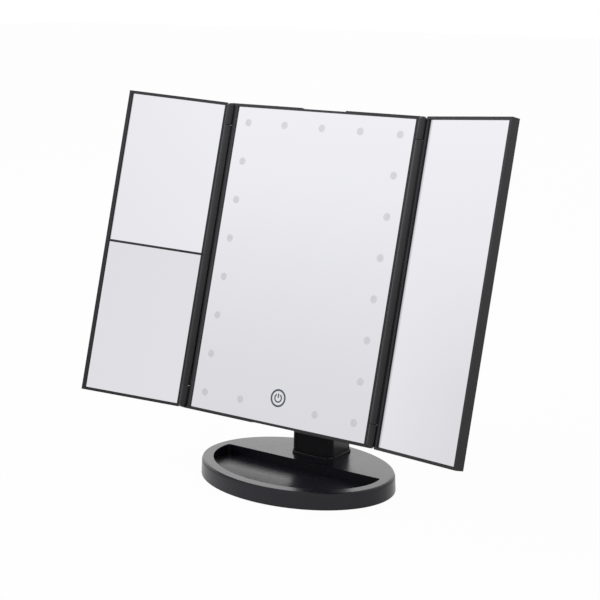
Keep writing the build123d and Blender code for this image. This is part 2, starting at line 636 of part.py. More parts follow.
def centre_frame():
    half_h, half_w = FRAME_H / 2, FRAME_HALF_W
    frame = block(both(half_w), both(half_h), (-FRAME_BACK, RIM_PROUD))
    frame -= block(both(CENTRE_GLASS_W / 2), both(GLASS_H / 2), (FLOOR_FRONT, RIM_PROUD))
    frame -= block(both(half_w - SHELL_T), both(half_h - SHELL_T), (-FRAME_BACK, FLOOR_BACK))
    for end, depth in ((-1, NOTCH_BOTTOM_D), (1, NOTCH_TOP_D)):
        y = sorted((end * half_h, end * (half_h - depth)))
        frame -= block(both(NOTCH_W / 2), y, (-FRAME_BACK, RIM_PROUD))
    for x, y in light_slots():
        frame -= block(x, y, (FLOOR_BACK, FLOOR_FRONT))
    frame -= peg(TOUCH_POST_R + SCREW_RUN, (0, KEY_V, FLOOR_BACK), (0, KEY_V, FLOOR_FRONT))
    for u, v in four_places(COVER_SCREW_U, COVER_SCREW_V):
        frame += peg(BOSS_R, (u, v, FLOOR_BACK), (u, v, -FRAME_BACK))
        frame -= peg(SCREW_R + SCREW_BITE, (u, v, FLOOR_BACK), (u, v, -FRAME_BACK))
    for side in (-1, 1):
        frame += hinge_lip(side)
        for end in (-1, 1):
            frame += knuckle(side, end)
    return frame + board_rails()


def strip_boards():
    """LED boards as (name, x range, y range): two side strips, one over the top, one along the bottom."""
    half = BOARD_W / 2
    side_y = (LIGHT_BOTTOM_V - half, LIGHT_TOP_V + half)
    inner = LIGHT_SIDE_U - half - BOARD_GAP
    return [
        ("led_board_left", both(half, -LIGHT_SIDE_U), side_y),
        ("led_board_right", both(half, LIGHT_SIDE_U), side_y),
        ("led_board_top", both(inner), both(half, LIGHT_TOP_V)),
        ("led_board_bottom", both(inner), both(half, LIGHT_BOTTOM_V)),
    ]


def board_rails():
    """Ribs on the back of the frame floor that each board is glued down on."""
    rails = []
    z = (BOARD_FRONT, FLOOR_BACK)
    for _, x, y in strip_boards():
        if y[1] - y[0] > x[1] - x[0]:
            rails += [block((x[0], x[0] + BOARD_RIB), y, z), block((x[1] - BOARD_RIB, x[1]), y, z)]
        else:
            rails += [block(x, (y[0], y[0] + BOARD_RIB), z), block(x, (y[1] - BOARD_RIB, y[1]), z)]
    return rails


def led_chips():
    z = (BOARD_FRONT, BOARD_FRONT + CHIP[2])
    return [on_head(block(both(CHIP[0] / 2, u), both(CHIP[1] / 2, v), z)) for u, v in light_places()]


def touch_ring():
    ring = RegularPolygon(KEY_RING_R, RING_SIDES) - RegularPolygon(KEY_RING_R - KEY_RING_W, RING_SIDES)
    return Pos(0, KEY_V, -KEY_DEPTH) * extrude(ring, KEY_DEPTH)


def centre_mirror():
    pane = block(both(CENTRE_GLASS_W / 2 - PANE_GAP), both(GLASS_H / 2 - PANE_GAP), (-PANE_T, 0))
    for u, v in light_places():
        pane -= peg(WINDOW_R, (u, v, -PANE_T), (u, v, 0), WINDOW_SIDES)
    return pane - touch_ring()


def led_windows():
    return [on_head(peg(WINDOW_R, (u, v, -PANE_T), (u, v, 0), WINDOW_SIDES)) for u, v in light_places()]


def centre_glue():
    """Foam sheet inside the ring of lights, above the touch key's pad."""
    half_w = LIGHT_SIDE_U - LIGHT_SLOT - GLUE_INSET
    y = (KEY_V + TOUCH_PAD_R + GLUE_INSET, LIGHT_TOP_V - LIGHT_SLOT - GLUE_INSET)
    return block(both(half_w), y, (FLOOR_FRONT, -PANE_T))


def touch_contact():
    """Conductive pad on the back of the pane, with a post down to the control board."""
    pad = peg(TOUCH_PAD_R, (0, KEY_V, FLOOR_FRONT), (0, KEY_V, -PANE_T), HEAD_SIDES)
    return pad + peg(TOUCH_POST_R, (0, KEY_V, BOARD_FRONT), (0, KEY_V, FLOOR_FRONT))


def control_board():
    """Board with a wide lower strip for the switch and the socket, and one chip on its back."""
    top = CONTROL_LOW + CONTROL_BOARD[1]
    z = (BOARD_BACK, BOARD_FRONT)
    foot_half_w = FITTING_U + SWITCH_HALF
    board = block(both(CONTROL_BOARD[0] / 2), (CONTROL_LOW, top), z)
    board += block(both(foot_half_w), (CONTROL_LOW, CONTROL_LOW + CONTROL_FOOT_H), z)
    chip_v = (FITTING_V + top) / 2
    chip_z = (BOARD_BACK - CONTROL_CHIP[2], BOARD_BACK)
    return board + block(both(CONTROL_CHIP[0] / 2), both(CONTROL_CHIP[1] / 2, chip_v), chip_z)


def hinge_pins():
    """One long pin per side, put in from the open end of the lower knuckle."""
    top = FRAME_H / 2 - KNUCKLE_L + PIN_IN_KNUCKLE
    low = PIN_END_GAP - FRAME_H / 2
    return [
        on_head(rod(PIN_R, (side * HINGE_U, low, HINGE_W), (side * HINGE_U, top, HINGE_W)))
        for side in (-1, 1)
    ]


# ------------------------------------------------------------------ rear cover
def cover_outline(w, inset):
    """Outline of the rear cover at a depth: full size at the parting line, taken in at the back."""
    share = (-w - FRAME_BACK) / (HOUSING_DEPTH - FRAME_BACK)
    taken = inset + COVER_INSET * share
    return Pos(0, 0, w) * Rectangle(2 * (FRAME_HALF_W - taken), FRAME_H - 2 * taken)


def battery_room(back, grow):
    """Battery compartment from a depth up to its floor; grow adds its walls."""
    y = both(BATTERY_HALF_H + grow, BATTERY_V)
    return block(both(BATTERY_HALF_W + grow), y, (back, ROOM_FLOOR + grow))


def rear_cover():
    bevel = COVER_EDGE - HOUSING_DEPTH
    sections = [
        cover_outline(-FRAME_BACK, 0),
        cover_outline(bevel, 0),
        cover_outline(-HOUSING_DEPTH, COVER_EDGE),
    ]
    bump = block(both(BUMP_HALF_W), (BUMP_LOW, BUMP_TOP), (BUMP_FACE, COVER_WALL))
    hollow = loft([cover_outline(-FRAME_BACK, SHELL_T), cover_outline(COVER_WALL, SHELL_T)])
    body = loft(sections, ruled=True) + fillet(bump.edges().filter_by(Axis.Z), BUMP_CORNER_R) - hollow
    body += battery_room(COVER_WALL, BATTERY_WALL)
    body -= battery_room(BUMP_FACE, 0)
    body -= door_room()
    ledge = SCREW_SINK + SCREW_HEAD_T - HOUSING_DEPTH
    for u, v in four_places(COVER_SCREW_U, COVER_SCREW_V):
        body += peg(SCREW_HEAD_R + BOSS_WALL, (u, v, -FRAME_BACK), (u, v, COVER_WALL))
        body -= peg(SCREW_R + SCREW_RUN, (u, v, ledge), (u, v, -FRAME_BACK))
        body -= peg(SCREW_HEAD_R + SCREW_RUN, (u, v, -HOUSING_DEPTH), (u, v, ledge), HEAD_SIDES)
    for u, v in four_places(FLANGE_SCREW_U, FLANGE_SCREW_V):
        body += peg(BOSS_R, (u, v, COVER_WALL), (u, v, COVER_WALL + FLANGE_BOSS))
        body -= peg(SCREW_R + SCREW_BITE, (u, v, -HOUSING_DEPTH), (u, v, COVER_WALL + FLANGE_BOSS))
    return body - switch_slot() - socket_hole()


def cover_screws():
    top, tip = SCREW_SINK - HOUSING_DEPTH, FLOOR_BACK - SCREW_TIP_GAP
    places = four_places(COVER_SCREW_U, COVER_SCREW_V)
    return [on_head(screw((u, v, top), (u, v, tip))) for u, v in places]


def door_room():
    """Seat of the battery door, open at its top end, with a groove down each side."""
    y = (DOOR_LOW - DOOR_GAP, BUMP_TOP)
    x = DOOR_HALF_W + DOOR_GAP
    mid = BUMP_FACE + DOOR_T / 2
    room = block(both(x), y, (BUMP_FACE, BUMP_FACE + DOOR_T))
    return room + block(both(x + DOOR_TONGUE), y, both(DOOR_TONGUE_T / 2 + DOOR_GAP, mid))


def battery_door():
    """Door with a tongue down each side and finger ribs at its lower end."""
    y = (DOOR_LOW, BUMP_TOP)
    mid = BUMP_FACE + DOOR_T / 2
    door = block(both(DOOR_HALF_W), y, (BUMP_FACE, BUMP_FACE + DOOR_T))
    door += block(both(DOOR_HALF_W + DOOR_TONGUE), y, both(DOOR_TONGUE_T / 2, mid))
    length, width, height = GRIP_RIB
    for i in range(GRIP_RIBS):
        v = DOOR_LOW + GRIP_START + GRIP_PITCH * i
        door += block(both(length / 2), (v, v + width), (BUMP_FACE - height, BUMP_FACE))
    return door


def cell_rows():
    """Height of each cell's axis and the way that its tip points."""
    heights = [BATTERY_V + CELL_PITCH * (i - (CELLS - 1) / 2) for i in range(CELLS)]
    return [(v, 1 if i % 2 else -1) for i, v in enumerate(heights)]


def battery_cells():
    """Four round cells side by side, each turned the other way round from the next."""
    cells = []
    for v, way in cell_rows():
        shoulder = (way * (CELL_L / 2 - CELL_TIP_L), v, CELL_W)
        cell = peg(CELL_R, (-way * CELL_L / 2, v, CELL_W), shoulder, HEAD_SIDES)
        cells.append(on_head(cell + peg(CELL_TIP_R, shoulder, (way * CELL_L / 2, v, CELL_W))))
    return cells


def battery_contacts():
    """Plates on the compartment's end walls: a stud for each tip, a wide pressed spring for each flat end."""
    contacts = []
    face = BATTERY_HALF_W - CONTACT_T
    for v, way in cell_rows():
        for end in (-1, 1):
            x = sorted((end * BATTERY_HALF_W, end * face))
            plate = block(x, both(CONTACT_HALF, v), both(CONTACT_HALF, CELL_W))
            radius = CELL_TIP_R if end == way else SPRING_R
            plate += peg(radius, (end * face, v, CELL_W), (end * CELL_L / 2, v, CELL_W))
            contacts.append(on_head(plate))
    return contacts


def switch_slot():
    """Slot that the slide switch's stem runs in."""
    half = STEM[0] / 2 + STEM_GAP
    x = (FITTING_U - half, FITTING_U + SWITCH_TRAVEL + half)
    return block(x, both(STEM[1] / 2 + STEM_GAP, FITTING_V), (-HOUSING_DEPTH, COVER_WALL))


def switch_knob():
    """Thumb piece with grooves, and the stem that reaches the switch."""
    outer, face = -HOUSING_DEPTH - STEM_GAP - KNOB[2], -HOUSING_DEPTH - STEM_GAP
    y = both(KNOB[1] / 2, FITTING_V)
    knob = block(both(KNOB[0] / 2, FITTING_U), y, (outer, face))
    knob += block(both(STEM[0] / 2, FITTING_U), both(STEM[1] / 2, FITTING_V), (face, COVER_WALL + STEM_GAP))
    for step in (-1, 0, 1):
        x = both(KNOB_GROOVE[0] / 2, FITTING_U + KNOB_GROOVE_PITCH * step)
        knob -= block(x, y, (outer, outer + KNOB_GROOVE[1]))
    return knob


def switch_body():
    """Slide switch between the rear cover and the control board."""
    x = both(SWITCH_BODY[0] / 2, FITTING_U + SWITCH_TRAVEL / 2)
    return block(x, both(SWITCH_BODY[1] / 2, FITTING_V), (COVER_WALL + STEM_GAP, BOARD_BACK))


def socket_hole():
    outline = SlotOverall(SOCKET[0] + 2 * SOCKET_GAP, SOCKET[1] + 2 * SOCKET_GAP)
    return Pos(-FITTING_U, FITTING_V, -HOUSING_DEPTH) * extrude(outline, SHELL_T)


def charging_socket():
    """Metal shell round a contact tongue, from just inside the cover's face to the control board."""
    mouth = SOCKET_SINK - HOUSING_DEPTH
    depth = BOARD_BACK - mouth
    outer = extrude(SlotOverall(*SOCKET), depth)
    mouth_outline = SlotOverall(SOCKET[0] - 2 * SOCKET_WALL, SOCKET[1] - 2 * SOCKET_WALL)
    inner = extrude(mouth_outline, depth - SOCKET_WALL)
    tongue = block(both(TONGUE[0] / 2), both(TONGUE[1] / 2), (2 * SOCKET_WALL, depth))
    return Pos(-FITTING_U, FITTING_V, mouth) * (outer - inner + tongue)


# ------------------------------------------------------------------ wings
def wing_frame(divided):
    """Tray with its hinge barrel; the left one has a bar between two panes."""
    front = RIM_PROUD - HINGE_W
    back = front - WING_T
    floor = -HINGE_W - PANE_T - GLUE_T
    half_h = FRAME_H / 2
    frame = block((WING_START, WING_END), both(half_h), (back, front))
    frame -= block(WING_PANE, both(GLASS_H / 2), (floor, front))
    if divided:
        frame += block(WING_PANE, both(DIVIDER_W / 2), (floor, front))
    inner = WING_START + WING_WALL, WING_END - WING_WALL
    frame -= block(inner, both(half_h - WING_WALL), (back, floor - WING_FLOOR_T))
    for i in range(WING_RIBS):
        v = (i - (WING_RIBS - 1) / 2) * GLASS_H / WING_RIBS
        frame += block(inner, both(WING_RIB_T / 2, v), (back + WING_BACK_T, floor - WING_FLOOR_T))
    barrel = rod(HINGE_R, (0, -BARREL_L / 2, 0), (0, BARREL_L / 2, 0))
    barrel += block((0, WING_START + JOIN), both(BARREL_L / 2), (-HINGE_R, front))
    return frame + barrel - rod(PIN_R + PIN_RUN_GAP, (0, -BARREL_L / 2, 0), (0, BARREL_L / 2, 0))


def wing_back():
    back = RIM_PROUD - HINGE_W - WING_T
    gap = WING_WALL + WING_BACK_GAP
    return block((WING_START + gap, WING_END - gap), both(FRAME_H / 2 - gap), (back, back + WING_BACK_T))


def wing_pane(low, high):
    x = (WING_PANE[0] + PANE_GAP, WING_PANE[1] - PANE_GAP)
    return block(x, (low + PANE_GAP, high - PANE_GAP), (-HINGE_W - PANE_T, -HINGE_W))


def wing_glue(low, high):
    x = (WING_PANE[0] + GLUE_INSET, WING_PANE[1] - GLUE_INSET)
    z = (-HINGE_W - PANE_T - GLUE_T, -HINGE_W - PANE_T)
    return block(x, (low + GLUE_INSET, high - GLUE_INSET), z)


# ------------------------------------------------------------------ internal leads
def internal_leads():
    """A pair of flat leads from beside the cells to the back of the control board."""
    depth = BOARD_BACK - LEAD[1] / 2
    leads = []
    for side in (-1, 1):
        x = side * (BATTERY_HALF_W + BATTERY_WALL + LEAD[0] / 2)
        end_x = side * (CONTROL_BOARD[0] / 2 - LEAD_END)
        end_v = CONTROL_LOW + CONTROL_BOARD[1] - LEAD_END
        route = FilletPolyline(
            (x, BATTERY_V, depth),
            (x, LEAD_BEND_V, depth),
            (end_x, -LEAD_BEND_V, depth),
            (end_x, end_v, depth),
            radius=LEAD_BEND_R,
        )
        start = Plane(origin=route @ 0, x_dir=(1, 0, 0), z_dir=route % 0)
        leads.append(on_head(sweep(start * Rectangle(*LEAD), route)))
    return leads


# ------------------------------------------------------------------ all nodes
def main():
    os.makedirs("parts", exist_ok=True)

    write("base_shell", base_shell())
    write("base_plate", base_plate())
    write("base_pad", base_pad())
    write("base_screws", *base_screws())
    write("base_weight", base_weight())

    neck = neck_body()
    write("neck_front_shell", neck_shell(neck, front=True))
    write("neck_rear_shell", neck_shell(neck, front=False))
    write("neck_screws", *neck_screws())
    write("neck_shell_screws", *neck_shell_screws())
    write("tilt_ears", tilt_ears())
    write("tilt_bolt", tilt_bolt())
    write("tilt_nut", tilt_nut())
    write("tilt_washers", *tilt_washers())
    write("neck_caps", *neck_caps())

    write("head_bracket", on_head(head_bracket()))
    write("bracket_screws", *bracket_screws())
    write("centre_frame", on_head(centre_frame()))
    write("centre_mirror", on_head(centre_mirror()))
    write("centre_glue", on_head(centre_glue()))
    write("led_windows", *led_windows())
    write("touch_key", on_head(touch_ring()))
    write("touch_contact", on_head(touch_contact()))
    for name, x, y in strip_boards():
        write(name, on_head(block(x, y, (BOARD_BACK, BOARD_FRONT))))
    write("led_chips", *led_chips())
    write("control_board", on_head(control_board()))
    write("hinge_pins", *hinge_pins())
    write("rear_cover", on_head(rear_cover()))
    write("cover_screws", *cover_screws())
    write("battery_cells", *battery_cells())
    write("battery_contacts", *battery_contacts())
    write("battery_door", on_head(battery_door()))
    write("switch_knob", on_head(switch_knob()))
    write("switch_body", on_head(switch_body()))
    write("charging_socket", on_head(charging_socket()))
    write("internal_leads", *internal_leads())

    low, high = both(GLASS_H / 2)
    half_bar = DIVIDER_W / 2
    write("left_wing_frame", on_wing(wing_frame(divided=True), -1))
    write("left_wing_back", on_wing(wing_back(), -1))
    write("left_mirror_upper", on_wing(wing_pane(half_bar, high), -1))
    write("left_mirror_lower", on_wing(wing_pane(low, -half_bar), -1))
    write("left_glue", on_wing(wing_glue(half_bar, high), -1), on_wing(wing_glue(low, -half_bar), -1))
    write("right_wing_frame", on_wing(wing_frame(divided=False), 1))
    write("right_wing_back", on_wing(wing_back(), 1))
    write("right_mirror", on_wing(wing_pane(low, high), 1))
    write("right_glue", on_wing(wing_glue(low, high), 1))


main()
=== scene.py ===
import bmesh
import bpy
from math import atan2, cos, degrees, pi, radians, sin
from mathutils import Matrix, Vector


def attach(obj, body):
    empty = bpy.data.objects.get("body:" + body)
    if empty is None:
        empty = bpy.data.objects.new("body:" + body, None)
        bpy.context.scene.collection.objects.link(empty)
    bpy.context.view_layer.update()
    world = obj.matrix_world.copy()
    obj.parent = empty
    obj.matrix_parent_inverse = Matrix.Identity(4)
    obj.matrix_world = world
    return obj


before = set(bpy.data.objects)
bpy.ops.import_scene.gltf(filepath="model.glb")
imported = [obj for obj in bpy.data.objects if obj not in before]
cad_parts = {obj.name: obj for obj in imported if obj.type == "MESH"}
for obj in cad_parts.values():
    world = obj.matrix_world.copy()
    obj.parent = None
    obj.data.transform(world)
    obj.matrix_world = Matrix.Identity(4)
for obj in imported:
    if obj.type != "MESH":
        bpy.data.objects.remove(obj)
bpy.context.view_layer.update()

MM = 0.001

# ------------------------------------------------------------------ places on the solids
TILT = radians(16.2)  # the head leans back from upright
HEAD_UP = (0.0, sin(TILT), cos(TILT))
HEAD_CENTRE = (0.0, 0.00295, 0.16489)  # middle of the centre pane
ACROSS = (1.0, 0.0, 0.0)
FOLD_LEFT = radians(19.3)  # the wings are turned forward from flat
FOLD_RIGHT = radians(16.6)
PANE_HALF_W, PANE_HALF_H = 80.1 * MM, 117.5 * MM
HINGE_U, HINGE_W = 85.9 * MM, 1.65 * MM  # hinge axis, sideways and forward of the pane's middle
SEAM_V = 104.15 * MM  # middle of the pane to the gap between knuckle and barrel
WING_PANE_START = 5.2 * MM  # hinge axis to the wing's pane
WINDOW_R = 3.0 * MM
WINDOW_TOP_V = 105.4 * MM  # top row of light windows
WINDOW_PITCH_U = 34.025 * MM
WINDOW_PITCH_V = 29.971 * MM
KEY_V = -97.8 * MM  # middle of the touch key
SAME_POINT = 0.002 * MM  # vertices closer than this are one

# ------------------------------------------------------------------ camera
CAMERA_AT = (0.614893, -0.875694, 0.390175)
CAMERA_YAW = 0.610
CAMERA_PITCH = 0.2286
CAMERA_LENS = 88.4
SENSOR_W = 36.0


def add_camera():
    data = bpy.data.cameras.new("camera")
    data.lens = CAMERA_LENS
    data.sensor_width = SENSOR_W
    camera = bpy.data.objects.new("camera", data)
    camera.location = CAMERA_AT
    camera.rotation_euler = (pi / 2 - CAMERA_PITCH, 0.0, CAMERA_YAW)
    bpy.context.scene.collection.objects.link(camera)
    bpy.context.scene.camera = camera


# ------------------------------------------------------------------ node helpers
NOISE_ENDS = (0.3, 0.7)  # most values of noise lie between these
CLOUD_ENDS = (0.35, 0.65)  # and most of coarse noise between these


class Shader:
    """A material's node tree, with short names for what every finish here needs."""

    def __init__(self, name):
        self.material = bpy.data.materials.new(name)
        self.material.use_nodes = True
        self.nodes = self.material.node_tree.nodes
        self.links = self.material.node_tree.links
        self.surface = self.nodes["Principled BSDF"]
        self.place = self.nodes.new("ShaderNodeTexCoord").outputs["Object"]

    def set(self, **values):
        for name, value in values.items():
            self.surface.inputs[name.replace("_", " ")].default_value = value
        return self

    def link(self, output, name):
        self.links.new(output, self.surface.inputs[name])

    def noise(self, size, detail=3.0, stretch=(1.0, 1.0, 1.0)):
        """Noise whose features are about size metres across, stretched along the axes."""
        mapping = self.nodes.new("ShaderNodeMapping")
        mapping.inputs["Scale"].default_value = [1.0 / s for s in stretch]
        self.links.new(self.place, mapping.inputs["Vector"])
        noise = self.nodes.new("ShaderNodeTexNoise")
        noise.inputs["Scale"].default_value = 1.0 / size
        noise.inputs["Detail"].default_value = detail
        self.links.new(mapping.outputs["Vector"], noise.inputs["Vector"])
        return noise.outputs["Fac"]

    def spread(self, value, low, high):
        """Maps noise to low..high."""
        node = self.nodes.new("ShaderNodeMapRange")
        node.inputs["From Min"].default_value = NOISE_ENDS[0]
        node.inputs["From Max"].default_value = NOISE_ENDS[1]
        node.inputs["To Min"].default_value = low
        node.inputs["To Max"].default_value = high
        self.links.new(value, node.inputs["Value"])
        return node.outputs["Result"]

    def ramp(self, value, *stops):
        """Colour ramp from (position, colour) pairs."""
        node = self.nodes.new("ShaderNodeValToRGB")
        elements = node.color_ramp.elements
        while len(elements) < len(stops):
            elements.new(0.5)
        for element, (position, colour) in zip(elements, stops):
            element.position = position
            element.color = (*colour, 1.0)
        self.links.new(value, node.inputs["Fac"])
        return node.outputs["Color"]

    def tones(self, noise, low, high, ends=NOISE_ENDS):
        """Two colours, spread over noise."""
        return self.ramp(noise, (ends[0], low), (ends[1], high))

    def bump(self, height, strength, distance):
        node = self.nodes.new("ShaderNodeBump")
        node.inputs["Strength"].default_value = strength
        node.inputs["Distance"].default_value = distance
        self.links.new(height, node.inputs["Height"])
        self.link(node.outputs["Normal"], "Normal")

    def along(self, direction, start, length):
        """0 at start, 1 at start plus length along direction."""
        reach = self.nodes.new("ShaderNodeVectorMath")
        reach.operation = "DOT_PRODUCT"
        reach.inputs[1].default_value = direction
        self.links.new(self.place, reach.inputs[0])
        node = self.nodes.new("ShaderNodeMapRange")
        node.inputs["From Min"].default_value = start
        node.inputs["From Max"].default_value = start + length
        self.links.new(reach.outputs["Value"], node.inputs["Value"])
        return node.outputs["Result"]

    def openness(self, reach):
        """1 on open surfaces, 0 where other surfaces close them in within reach."""
        node = self.nodes.new("ShaderNodeAmbientOcclusion")
        node.inputs["Distance"].default_value = reach
        return node.outputs["AO"]

    def head_height(self):
        """0 at the foot of the panes, 1 at their top."""
        return self.along(HEAD_UP, dot(HEAD_CENTRE, HEAD_UP) - PANE_HALF_H, 2 * PANE_HALF_H)

    def from_window(self):
        """Distance to the nearest place of a light window, 1 at WINDOW_R."""
        squares = []
        rows = (ACROSS, WINDOW_PITCH_U, 0.0), (HEAD_UP, WINDOW_PITCH_V, WINDOW_TOP_V)
        for direction, pitch, first in rows:
            steps = self.along(direction, dot(HEAD_CENTRE, direction) + first, pitch)
            steps.node.clamp = False
            offset = self.math("WRAP", steps, 0.5, -0.5)
            squares.append(self.math("POWER", self.math("MULTIPLY", offset, pitch / WINDOW_R), 2.0))
        return self.math("SQRT", self.math("ADD", *squares))

    def math(self, operation, *values):
        node = self.nodes.new("ShaderNodeMath")
        node.operation = operation
        for socket, value in zip(node.inputs, values):
            if isinstance(value, float):
                socket.default_value = value
            else:
                self.links.new(value, socket)
        return node.outputs["Value"]

    def blend(self, factor, first, second, kind="MIX"):
        """first where factor is 0, second where it is 1; factor is a number or an output."""
        node = self.nodes.new("ShaderNodeMix")
        node.data_type = "RGBA"
        node.blend_type = kind
        if isinstance(factor, float):
            node.inputs["Factor"].default_value = factor
        else:
            self.links.new(factor, node.inputs["Factor"])
        self.links.new(first, node.inputs["A"])
        self.links.new(second, node.inputs["B"])
        return node.outputs["Result"]


def dot(first, second):
    return sum(a * b for a, b in zip(first, second))


def grey(value, tint=0.0):
    """A linear grey, with a violet cast from tint."""
    return (value * (1 - tint), value * (1 - tint), value)


def shown(level):
    """The linear colour of silvered glass that shows as this grey, 0 to 255, with a cool tint."""
    return tuple(((value / 255 + 0.055) / 1.055) ** 2.4 for value in (level, level, level + COOL_TINT))


# ------------------------------------------------------------------ finishes and painted light
COOL_TINT = 4.5  # more blue in silvered glass, in levels of 0 to 255
CLOUD_SIZE = 25 * MM
GRAIN_SIZE = 0.12 * MM
GLOSS_SPREAD = 0.02
# painted shade in crevices: how far it reaches, and the share of colour left where it is deepest
CREVICE_REACH, CREVICE_SHADE = 6 * MM, 0.5
LIT_WALL_TONE, WALL_REACH = 0.065, 0.12 * MM  # painted light on a rim's inner wall, lit by light off the pane
EDGE_REFLECTED_SHADE = (0.3, 0.3, 0.31)  # share of a pane's silver left at its edge, a painted reflection of the rim's dark wall
# top is painted light: the frames' paler colour at the head's top, where more light falls
FRAME_FINISH_AND_TOP_LIGHT = {"shade": 0.016, "roughness": 0.24, "top": 0.040, "specular": 0.28}

# Painted reflection: greys the panes show, 0 to 255, with their heights from foot to top, at a pane's near
# and far side.
CENTRE_EVEN = ((0.0, 218), (0.2, 221), (0.5, 229), (0.75, 236), (1.0, 239.5))
LEFT_UPPER_NEAR, LEFT_UPPER_FAR = ((0.5, 230.5), (1.0, 235)), ((0.5, 233), (1.0, 238))
LEFT_LOWER_NEAR, LEFT_LOWER_FAR = ((0.0, 223), (0.5, 223)), ((0.0, 224.5), (0.5, 224.5))
RIGHT_NEAR = ((0.0, 227), (0.3, 230), (0.6, 234), (1.0, 240))
RIGHT_FAR = ((0.0, 218), (0.2, 220), (0.45, 228), (0.6, 233), (1.0, 240))
WINDOW_FOOT, WINDOW_TOP = 209, 225  # the same painted reflection for the light windows, at the foot and the top of the head
WINDOW_STEPS = ((0.0, 0), (0.45, -4), (1.0, 2))  # from a window's middle to its edge


def moulded_plastic_and_painted_light(
    name, shade, roughness, top=None, tint=0.1, relief=0.03 * MM, specular=0.5, wall=None
):
    """Spark-eroded black plastic: fine grain, cloudy gloss, and painted light that may pale it towards the
    head's top.

    Painted shade darkens crevices; wall, a direction and a place along it, is a rim's inner wall given
    painted light.
    """
    shader = Shader(name)
    cloud = shader.noise(CLOUD_SIZE)
    fine = shader.noise(GRAIN_SIZE, detail=2.0)
    top = top or shade
    low = shader.tones(cloud, grey(shade * 0.85, tint), grey(shade * 1.15, tint), CLOUD_ENDS)
    high = shader.tones(cloud, grey(top * 0.92, tint), grey(top * 1.08, tint), CLOUD_ENDS)
    # painted light: the colour pales from shade at the foot of the panes to top at their top
    colour = shader.blend(shader.head_height(), low, high)
    # painted shade: darker where other surfaces close the plastic in
    crevice = shader.ramp(shader.openness(CREVICE_REACH), (0.5, grey(CREVICE_SHADE)), (0.95, grey(1.0)))
    colour = shader.blend(1.0, colour, crevice, "MULTIPLY")
    # painted light: a rim's inner wall made paler, lit by light off the pane
    if wall:
        direction, place = wall
        tones = [grey(LIT_WALL_TONE * share, tint) for share in (0.95, 1.05)]
        paler = shader.tones(cloud, *tones, CLOUD_ENDS)
        near = shader.ramp(
            shader.along(direction, place - WALL_REACH, 2 * WALL_REACH),
            (0.2, grey(0.0)), (0.4, grey(1.0)), (0.6, grey(1.0)), (0.8, grey(0.0)),
        )
        colour = shader.blend(near, colour, paler)
    shader.link(colour, "Base Color")
    shader.link(shader.spread(cloud, roughness - GLOSS_SPREAD, roughness + GLOSS_SPREAD), "Roughness")
    shader.bump(fine, 0.25, relief)
    return shader.set(Specular_IOR_Level=specular).material


def mirror_silver(node, across, near, far, edge):
    """Silvered glass of one pane, with faint wipe marks in its gloss.

    near and far give the painted reflection's greys from foot to top, on the side where across starts and
    where it ends.
    A painted reflection of the rim's dark wall darkens the silver over the first edge metres.
    """
    shader = Shader("silver_" + node)
    height = shader.head_height()
    start, width = span(node, across)
    side = shader.along(across, start, width)
    sides = [
        shader.ramp(height, *[(place, shown(level)) for place, level in tones]) for tones in (near, far)
    ]
    # painted reflection: the silver's grey changes up and across the pane
    colour = shader.blend(side, *sides)
    if edge:
        # painted reflection of the rim's dark wall along the pane's edge
        reflected_edge_shade = shader.ramp(shader.along(across, start, edge), (0.0, EDGE_REFLECTED_SHADE), (1.0, (1.0, 1.0, 1.0)))
        colour = shader.blend(1.0, colour, reflected_edge_shade, "MULTIPLY")
    shader.link(colour, "Base Color")
    wipe = shader.noise(30 * MM, stretch=(1.0, 1.0, 3.0))
    shader.link(shader.spread(wipe, 0.015, 0.045), "Roughness")
    return shader.set(Metallic=1.0).material


def frosted_window():
    """Etched silver of the light windows: a darker ring round a paler middle, with a painted reflection
    paler to the top.
    """
    shader = Shader("frosted_window")
    rings = [
        shader.ramp(shader.from_window(), *[(place, shown(level + step)) for place, step in WINDOW_STEPS])
        for level in (WINDOW_FOOT, WINDOW_TOP)
    ]
    # painted reflection: paler towards the head's top
    shader.link(shader.blend(shader.head_height(), *rings), "Base Color")
    fine = shader.noise(0.3 * MM)
    shader.link(shader.spread(fine, 0.35, 0.5), "Roughness")
    shader.bump(fine, 0.2, 0.02 * MM)
    return shader.set(Metallic=1.0).material


def key_ink():
    shader = Shader("key_ink")
    fine = shader.noise(0.4 * MM)
    shader.link(shader.tones(fine, (0.070, 0.078, 0.105), (0.082, 0.090, 0.120)), "Base Color")
    return shader.set(Roughness=0.4).material


def foot_rubber():
    shader = Shader("foot_rubber")
    fine = shader.noise(0.25 * MM)
    shader.link(shader.tones(fine, grey(0.010), grey(0.016)), "Base Color")
    shader.bump(fine, 0.5, 0.05 * MM)
    return shader.set(Roughness=0.75).material


def brushed_steel(name="brushed_steel", shade=0.47):
    shader = Shader(name)
    streaks = shader.noise(0.3 * MM, stretch=(12.0, 1.0, 1.0))
    shader.link(shader.tones(streaks, grey(shade * 0.9, 0.02), grey(shade * 1.1, 0.02)), "Base Color")
    shader.link(shader.spread(streaks, 0.28, 0.42), "Roughness")
    return shader.set(Metallic=1.0).material


def speckled(name, low, high, size, roughness):
    """A plain two-tone finish for small and inner pieces."""
    shader = Shader(name)
    grain = shader.noise(size)
    shader.link(shader.tones(grain, low, high), "Base Color")
    return shader.set(Roughness=roughness).material


# ------------------------------------------------------------------ dressing the solids
SOFT_NECK, SOFT_FRAME = 0.25 * MM, 0.15 * MM  # edge radii
SHARP = radians(40.0)  # edges that turn more than this are rounded


def span(node, direction):
    """Where a solid starts along a direction, and how far it goes."""
    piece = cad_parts[node]
    reach = [(piece.matrix_world @ vert.co).dot(Vector(direction)) for vert in piece.data.vertices]
    return min(reach), max(reach) - min(reach)


def wing_across(fold):
    """The direction across a wing's pane, towards +X, for a fold angle that is positive on the right."""
    return (cos(fold), -sin(fold) * cos(TILT), sin(fold) * sin(TILT))


